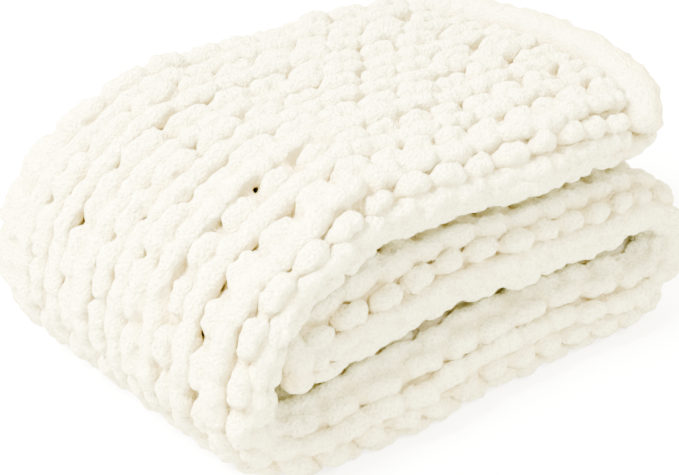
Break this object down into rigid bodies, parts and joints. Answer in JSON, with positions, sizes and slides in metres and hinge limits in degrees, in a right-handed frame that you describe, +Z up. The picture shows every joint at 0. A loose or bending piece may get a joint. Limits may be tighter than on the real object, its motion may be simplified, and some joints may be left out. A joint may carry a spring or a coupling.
{
  "type": "folded chunky knit blanket",
  "caption": "Chunky chenille knit blanket, doubled and folded into three bands, lying flat on a surface.",
  "frame": {"origin": "on the floor under the middle of the folded blanket, on its flat underside", "axes": "+Z up; +X along the folded bands, towards the free end on top; -Y towards the side with the rounded lengthwise fold"},
  "size_m": [0.5449, 0.3547, 0.2474],
  "materials": {
    "chenille": "cream chenille yarn, thick plain knit, purl side out, velvety and matt"
  },
  "bodies": {
    "root": {"blanket": "chenille"}
  },
  "joints": []
}
